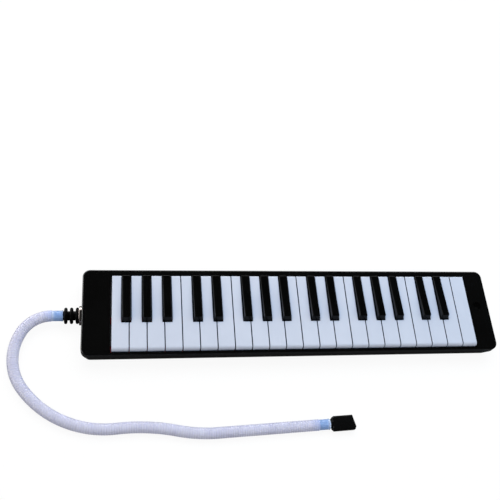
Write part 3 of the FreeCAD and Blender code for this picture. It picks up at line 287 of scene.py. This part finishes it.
def key_black():
    return black_plastic("key_black", dark=0.0008, light=0.0014, rough=(0.16, 0.24), grain=1800.0,
                         depth=0.00002, gloss=0.12, hairs=ALONG_Y)


def button_black():
    return black_plastic("button_black", dark=0.0003, light=0.0006, rough=(0.20, 0.30), grain=2200.0,
                         depth=0.00003, gloss=0.2, hairs=ALONG_X)


def mouth_plastic():
    return black_plastic("mouth_plastic", dark=0.0020, light=0.0036, rough=(0.22, 0.32), grain=2000.0,
                         depth=0.00004, gloss=0.15, hairs=ALONG_X)


def ring_chrome():
    return metal("ring_chrome", low=(0.40, 0.35, 0.32), high=(0.52, 0.46, 0.43), rough=(0.18, 0.28))


def steel():
    return metal("steel", low=0.50, high=0.62, rough=(0.25, 0.40))


def reed_alloy():
    return metal("reed_alloy", low=0.68, high=0.80, rough=(0.30, 0.45), stretch=(0.2, 3.0, 3.0))


def reed_brass():
    return metal("reed_brass", low=(0.62, 0.44, 0.16), high=(0.76, 0.58, 0.26), rough=(0.25, 0.40),
                 stretch=(3.0, 0.2, 3.0))


def chamber_plastic():
    return dull("chamber_plastic", low=(0.16, 0.17, 0.19), high=(0.22, 0.23, 0.25), rough=(0.4, 0.6),
                grain=300.0, depth=0.0001)


def gasket_foam():
    return dull("gasket_foam", low=0.02, high=0.05, rough=(0.8, 0.95), grain=1500.0, depth=0.0002)


def felt():
    return dull("felt", low=(0.20, 0.02, 0.03), high=(0.34, 0.05, 0.06), rough=(0.85, 1.0), grain=1400.0,
                depth=0.0003)


def hose_vinyl():
    return vinyl("hose_vinyl", low=(0.485, 0.485, 0.62), high=(0.54, 0.54, 0.665), tint=(0.36, 0.42, 0.66),
                 reach=0.010, rough=(0.30, 0.42))


def cuff_vinyl():
    return vinyl("cuff_vinyl", low=(0.200, 0.315, 0.55), high=(0.240, 0.355, 0.61), tint=(0.50, 0.58, 0.76),
                 reach=0.0034, rough=(0.20, 0.32))


MAKERS = (case_black, key_black, button_black, mouth_plastic, key_white, plug_rubber, ring_chrome, steel,
          reed_alloy, reed_brass, chamber_plastic, gasket_foam, felt, hose_vinyl, cuff_vinyl)
MATERIALS = {maker.__name__: maker() for maker in MAKERS}


def paint(piece, slot):
    """Give a piece the finish of one material slot."""
    piece.data.materials.clear()
    piece.data.materials.append(MATERIALS[slot])
    return piece


def mesh_piece(name, points, faces):
    """A smooth-shaded piece from its corners and faces."""
    mesh = bpy.data.meshes.new(name)
    mesh.from_pydata(points, [], faces)
    mesh.polygons.foreach_set("use_smooth", [True] * len(mesh.polygons))
    piece = bpy.data.objects.new(name, mesh)
    bpy.context.scene.collection.objects.link(piece)
    return piece


def skin(rings, sides, closed):
    """Faces between rings of corners, which either close on themselves or end in a cap at each end."""
    faces = []
    for i in range(rings if closed else rings - 1):
        a, b = i * sides, (i + 1) % rings * sides
        for k in range(sides):
            m = (k + 1) % sides
            faces.append((a + k, b + k, b + m, a + m))
    if not closed:
        faces.append(tuple(range(sides)))
        faces.append(tuple(reversed(range((rings - 1) * sides, rings * sides))))
    return faces


# ---------------------------------------------------------------- hose
def on_bends(distance):
    """Place on the hose's own plane and heading, that far along its middle line, in millimetres."""
    x, y, heading = HOSE_START_X, 0.0, math.pi
    if distance < 0:
        return x - distance, y, heading
    left = distance
    for radius, turn in BENDS:
        length = radius * math.radians(turn)
        angle = math.radians(turn) * min(left / length, 1.0)
        x += radius * (math.sin(heading + angle) - math.sin(heading))
        y += radius * (math.cos(heading) - math.cos(heading + angle))
        heading += angle
        if left <= length:
            return x, y, heading
        left -= length
    return x + left * math.cos(heading), y + left * math.sin(heading), heading


def station(distance):
    """Centre of the hose at that distance, and the directions to its side and its top, in metres."""
    x, y, heading = on_bends(distance)
    tilt = math.radians(HOSE_TILT)
    centre = Vector((x, y * math.cos(tilt), BLOW_HEIGHT + y * math.sin(tilt))) / 1000
    ahead = math.cos(heading)
    side = Vector((-math.sin(heading), ahead * math.cos(tilt), ahead * math.sin(tilt)))
    top = Vector((0.0, -math.sin(tilt), math.cos(tilt)))
    return centre, side, top


def sleeve(name, profile, bore, slot, tinted_ends):
    """A round sleeve along the hose's line: profile lists distance and radius, bore is its inner radius.

    The mesh keeps each corner's distance from the ends where its colour changes.
    """
    start, end = profile[0][0], profile[-1][0]
    inner_total = max(2, round((end - start) / BORE_STEP))
    inner = [(end + (start - end) * i / inner_total, bore) for i in range(inner_total + 1)]
    rings = profile + inner
    points, from_end = [], []
    for distance, radius in rings:
        centre, side, top = station(distance)
        for k in range(SIDES):
            angle = 2 * math.pi * k / SIDES
            points.append(centre + radius / 1000 * (math.cos(angle) * side + math.sin(angle) * top))
            from_end.append(min(abs(distance - place) for place in tinted_ends) / 1000)
    piece = mesh_piece(name, points, skin(len(rings), SIDES, closed=True))
    piece.data.attributes.new("from_end", "FLOAT", "POINT").data.foreach_set("value", from_end)
    return paint(piece, slot)


def bend_end(count):
    """Distance along the hose at the end of that many bends."""
    return sum(radius * math.radians(turn) for radius, turn in BENDS[:count])


def corrugated(length):
    """Profile of a ribbed tube whose ribs run to both ends."""
    ribs = round(length / RIB_PITCH)
    total = ribs * RIB_STEPS
    profile = []
    for i in range(total + 1):
        crest = math.sin(math.pi * i / RIB_STEPS) ** 2
        profile.append((length * i / total, HOSE_RADIUS - RIB_DEPTH * (1 - crest ** RIB_FULLNESS)))
    return profile


def bead(start, end, radius, edge, steps=5):
    """Profile of a band with rounded edges."""
    quarter = [math.pi / 2 * i / steps for i in range(steps + 1)]
    rounded = [(edge * (1 - math.cos(a)), radius - edge * (1 - math.sin(a))) for a in quarter]
    up = [(start + inset, height) for inset, height in rounded]
    down = [(end - inset, height) for inset, height in reversed(rounded)]
    return up + [((start + end) / 2, radius)] + down


def hose():
    """One corrugated hose along all the bends, as one fixed piece."""
    length = bend_end(len(BENDS)) + STRAIGHT
    piece = sleeve("hose", corrugated(length), HOSE_BORE_RADIUS, "hose_vinyl", (0.0, length))
    start, end = station(bend_end(FLEX_BEND))[0], station(bend_end(FLEX_BEND + 1))[0]
    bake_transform(piece)
    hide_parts("hose_near", "hose_flex", "hose_far")


def near_cuff():
    """Smooth sleeve with a raised lip against the plug."""
    lip_end = NEAR_LIP - CUFF_LENGTH
    lip = bead(-CUFF_LENGTH, lip_end, CUFF_RADIUS, NEAR_LIP_EDGE)
    waist = bead(lip_end, 0.0, NEAR_WAIST_RADIUS, WAIST_EDGE)
    piece = sleeve("near_cuff", lip + waist, CUFF_BORE_RADIUS, "cuff_vinyl", (0.0,))
    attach(piece, "hose_near")
    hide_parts("cuff_near")


def far_cuff():
    """Smooth sleeve with a raised lip against the mouthpiece."""
    start = bend_end(len(BENDS)) + STRAIGHT
    end = start + CUFF_LENGTH
    waist = bead(start, end - FAR_LIP, FAR_WAIST_RADIUS, WAIST_EDGE)
    lip = bead(end - FAR_LIP, end, CUFF_RADIUS, FAR_LIP_EDGE)
    piece = sleeve("far_cuff", waist + lip, CUFF_BORE_RADIUS, "cuff_vinyl", (end,))
    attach(piece, "hose_far")
    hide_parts("cuff_far")


# ---------------------------------------------------------------- drain valve
def drain_coil():
    """Wire wound round the drain stem, flat at both ends, fixed to the case."""
    total = COIL_TURNS * STEPS_PER_TURN
    rise = SPRING_TOP - SPRING_FOOT - 2 * WIRE_RADIUS
    points = []
    for i in range(total + 1):
        turn = COIL_TURNS * i / total
        climbed = min(max((turn - FLAT_TURNS) / (COIL_TURNS - 2 * FLAT_TURNS), 0.0), 1.0)
        height = SPRING_FOOT + WIRE_RADIUS + rise * climbed
        outward = Vector((math.cos(2 * math.pi * turn), math.sin(2 * math.pi * turn), 0.0))
        for k in range(WIRE_SIDES):
            angle = 2 * math.pi * k / WIRE_SIDES
            place = Vector((DRAIN_X, DRAIN_Y, height + WIRE_RADIUS * math.sin(angle)))
            points.append((place + (COIL_RADIUS + WIRE_RADIUS * math.cos(angle)) * outward) / 1000)
    piece = mesh_piece("drain_coil", points, skin(total + 1, WIRE_SIDES, closed=False))
    paint(piece, "steel")
    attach(piece, "case")
    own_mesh(piece)
    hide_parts("drain_spring")


# ---------------------------------------------------------------- studio
def floor():
    """Plain pale floor: most of its brightness is its own, and shiny surfaces see it dim."""
    half = FLOOR_HALF
    corners = [(-half, -half, 0), (half, -half, 0), (half, half, 0), (-half, half, 0)]
    piece = mesh_piece("floor", corners, [(0, 1, 2, 3)])
    piece.location.z = -FLOOR_DROP
    shader = Shader("floor")
    seen = shader.add("LightPath")
    tone = shader.ramp(shader.noise(2.0, 2.0), "Fac", 0.86, 0.88)
    mirrored = shader.mix(tone, FLOOR_IN_MIRRORS, seen, "Is Glossy Ray")
    rough = shader.ramp(shader.noise(40.0, 3.0), "Fac", 0.85, 0.95)
    shader.finish(mirrored, rough, [], 0.0, Specular_IOR_Level=0.05)
    glow = shader.add("Emission", Color=shade(1.0), Strength=1.0)
    share = shader.mix(0.0, FLOOR_OWN_LIGHT, seen, "Is Camera Ray")
    blend = shader.add("MixShader")
    shader.join(share, "Color", blend, "Fac")
    shader.join(shader.surface, "BSDF", blend, 1)
    shader.join(glow, "Emission", blend, 2)
    shader.join(blend, "Shader", shader.tree.nodes["Material Output"], "Surface")
    piece.data.materials.append(shader.material)


def room():
    """Soft even light; shiny surfaces see a dim room with a bright band low at the back and left."""
    world = bpy.data.worlds.new("room")
    bpy.context.scene.world = world
    world.use_nodes = True
    sky = NodeTree(world.node_tree)
    direction = sky.add("TexCoord")
    turned = sky.add("VectorRotate", Angle=math.radians(-35))
    turned.rotation_type = "Z_AXIS"
    split = sky.add("SeparateXYZ")
    sky.join(direction, "Generated", turned, "Vector")
    sky.join(turned, "Vector", split, "Vector")
    height = sky.curve(split, "Z", [(0.0, 0.25), (0.10, 1.0), (0.30, 1.0), (0.50, 0.0)])
    behind = sky.ramp(split, "Y", 0.0, 1.0, 0.0, 0.55)
    band = sky.mix(0.03, 7.0, sky.times(height, behind))
    path = sky.add("LightPath")
    lit = sky.mix(0.5, band, path, "Is Glossy Ray")
    seen = sky.mix(lit, 1.0, path, "Is Camera Ray")
    sky.join(seen, "Color", world.node_tree.nodes["Background"], "Color")


def area_light(name, place, aim, size, power, colour=(1.0, 1.0, 1.0)):
    """A soft rectangular lamp that shiny surfaces do not mirror."""
    light = bpy.data.lights.new(name, "AREA")
    light.shape = "RECTANGLE"
    light.size, light.size_y = size
    light.energy = power
    light.color = colour
    lamp = bpy.data.objects.new(name, light)
    bpy.context.scene.collection.objects.link(lamp)
    lamp.location = place
    lamp.rotation_euler = (Vector(aim) - Vector(place)).to_track_quat("-Z", "Y").to_euler()
    lamp.visible_glossy = False


def camera():
    """Above and in front of the low end, as the instrument was shown."""
    lens = bpy.data.cameras.new("view")
    lens.lens = EYE_LENS
    eye = bpy.data.objects.new("view", lens)
    bpy.context.scene.collection.objects.link(eye)
    eye.location = EYE_PLACE
    eye.rotation_euler = [math.radians(angle) for angle in EYE_ANGLES]
    bpy.context.scene.camera = eye


for entry in frame["record"]["subparts"]:
    paint(NODES[entry["node"]], entry["material_slot"])
hose()
near_cuff()
far_cuff()
drain_coil()
floor()
room()
area_light("overhead", (-0.1, 0.7, 1.6), (0.0, 0.0, 0.0), (1.8, 1.2), 32.0)
area_light("window", (0.62, 0.28, 0.71), (0.20, 0.0, 0.03), (0.6, 0.6), 1.8, (0.05, 0.55, 1.0))
camera()
bpy.context.scene.view_settings.view_transform = "Standard"
